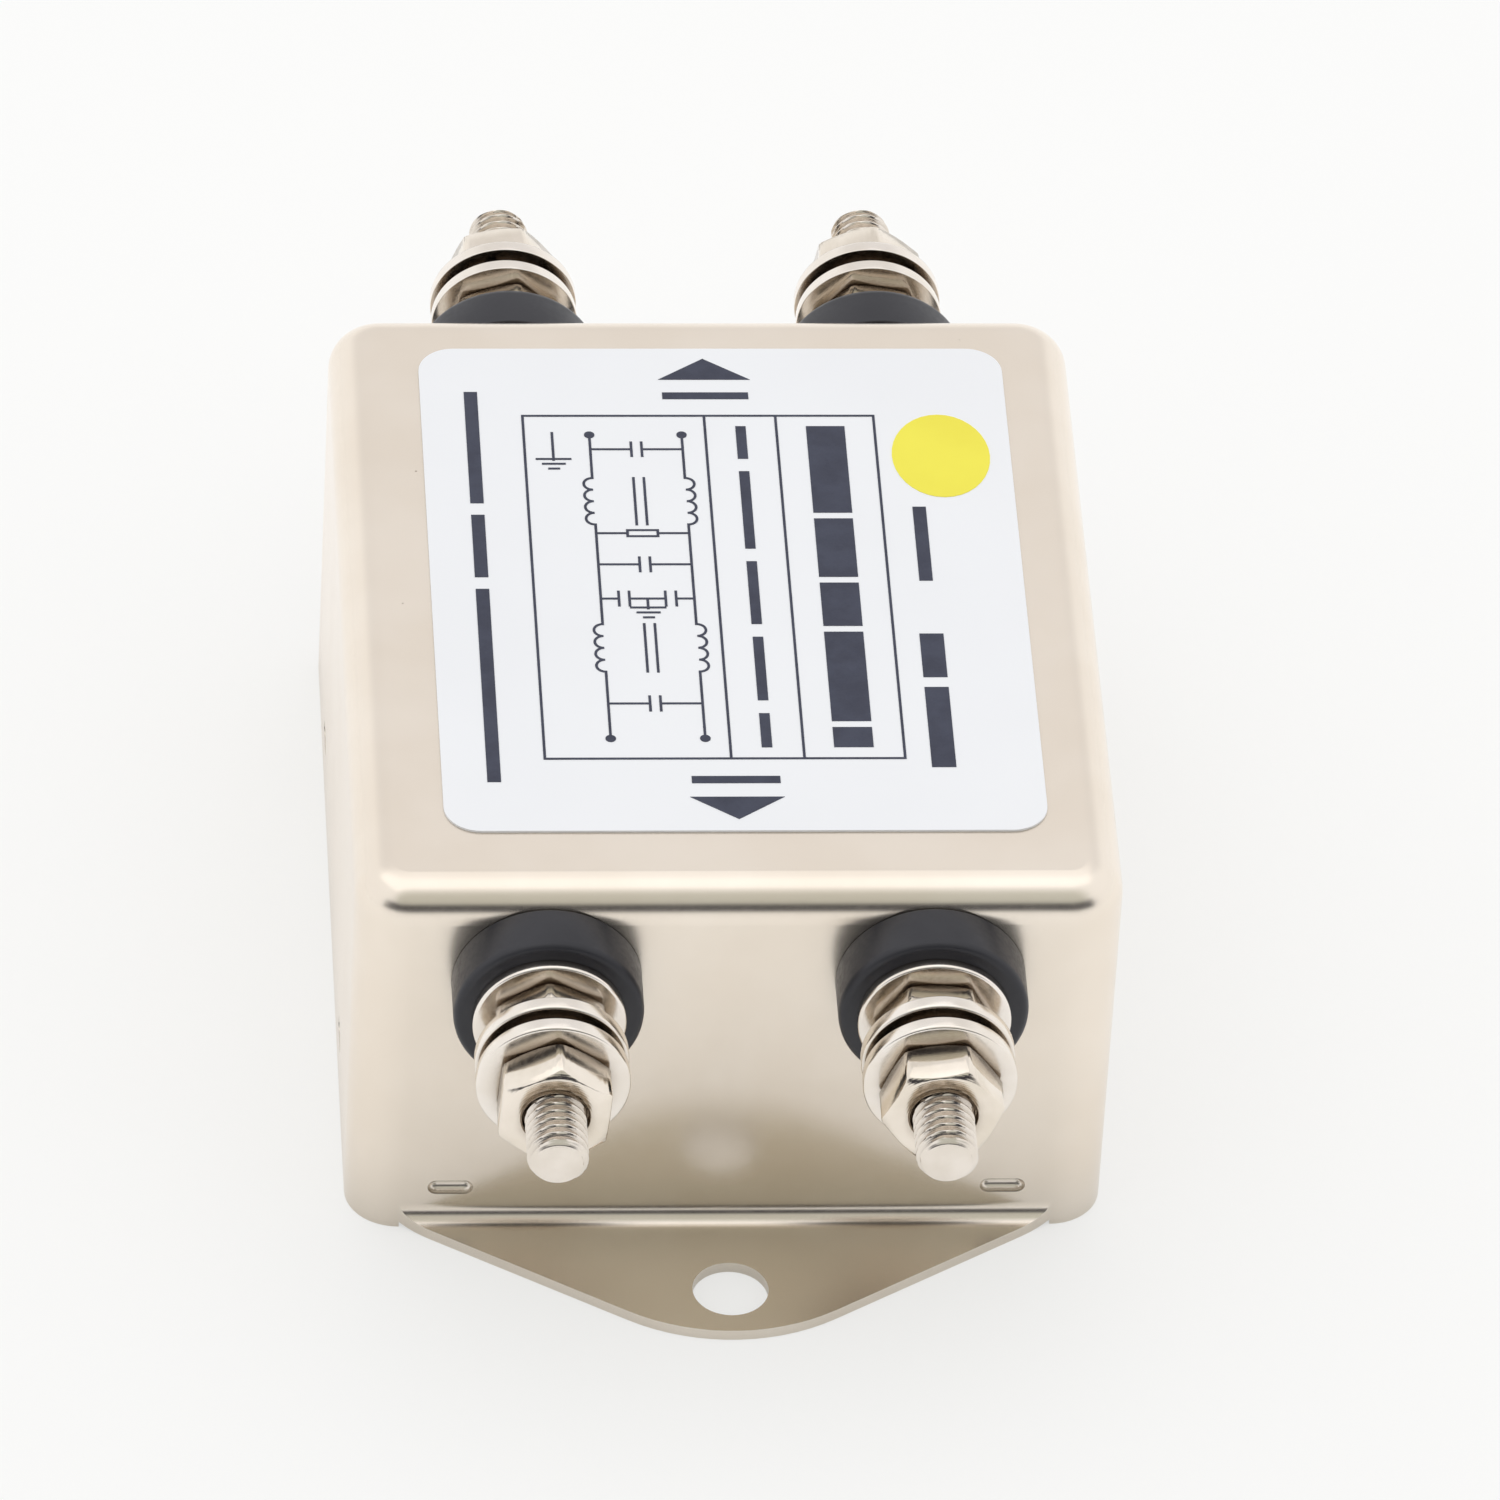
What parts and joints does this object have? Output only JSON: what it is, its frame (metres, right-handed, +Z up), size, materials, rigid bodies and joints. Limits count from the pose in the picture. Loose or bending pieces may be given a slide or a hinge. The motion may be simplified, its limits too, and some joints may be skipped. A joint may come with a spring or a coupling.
{
  "type": "emi line filter",
  "caption": "Mains line filter in a drawn metal can with stud terminals at both ends and a mounting ear below each pair.",
  "frame": {"origin": "middle of the can's lower edge, which is the plane that lies on the panel", "axes": "+Z up out of the panel, +Y along the can towards the line end, +X to the right when looking along +Y"},
  "size_m": [0.05, 0.0952, 0.0292],
  "materials": {
    "nickel_can": "satin nickel plating on drawn steel sheet",
    "steel_plate": "satin nickel plating on a flat steel blank",
    "white_film": "smooth white polyester label film",
    "dark_print": "dark blue-black print",
    "yellow_print": "yellow print",
    "black_plastic": "semi-matt black moulded thermoplastic",
    "stud_steel": "bright nickel plating on a rolled thread",
    "bright_washer": "bright nickel plating",
    "bright_nut": "bright nickel plating",
    "spring_steel": "plated spring steel, a little darker",
    "tinned_strap": "tinned copper strip",
    "tray_film": "pale yellow insulating film",
    "pale_plastic": "natural nylon",
    "board_laminate": "green lacquered glass-fibre laminate",
    "core_case": "green moulded core case",
    "enamelled_wire": "copper wire with clear enamel",
    "box_capacitor": "yellow moulded box",
    "disc_capacitor": "blue dipped lacquer",
    "resistor_body": "beige lacquer",
    "solder": "bright solder"
  },
  "bodies": {
    "root": {"can_shell": "nickel_can", "base_plate": "steel_plate", "label": "white_film", "label_ink": "dark_print", "label_badge": "yellow_print", "bush_load_left": "black_plastic", "bush_load_right": "black_plastic", "bush_line_left": "black_plastic", "bush_line_right": "black_plastic", "inner_ring_load_left": "black_plastic", "inner_ring_load_right": "black_plastic", "inner_ring_line_left": "black_plastic", "inner_ring_line_right": "black_plastic", "stud_load_left": "stud_steel", "stud_load_right": "stud_steel", "stud_line_left": "stud_steel", "stud_line_right": "stud_steel", "strap_load_left": "tinned_strap", "strap_load_right": "tinned_strap", "strap_line_left": "tinned_strap", "strap_line_right": "tinned_strap", "bush_washers": "bright_washer", "lock_nuts": "bright_nut", "lug_washers": "bright_washer", "spring_washers": "spring_steel", "clamp_washers": "bright_washer", "clamp_nuts": "bright_nut", "insulating_tray": "tray_film", "board_spacers": "pale_plastic", "circuit_board": "board_laminate", "choke_core_load": "core_case", "choke_core_line": "core_case", "choke_divider_load": "pale_plastic", "choke_divider_line": "pale_plastic", "winding_load_left": "enamelled_wire", "winding_load_right": "enamelled_wire", "winding_line_left": "enamelled_wire", "winding_line_right": "enamelled_wire", "x_capacitor_load": "box_capacitor", "x_capacitor_middle": "box_capacitor", "x_capacitor_line": "box_capacitor", "y_capacitor_left": "disc_capacitor", "y_capacitor_right": "disc_capacitor", "bleed_resistor": "resistor_body", "ground_strap": "tinned_strap", "ground_rivet": "spring_steel", "solder_joints": "solder"}
  },
  "joints": []
}
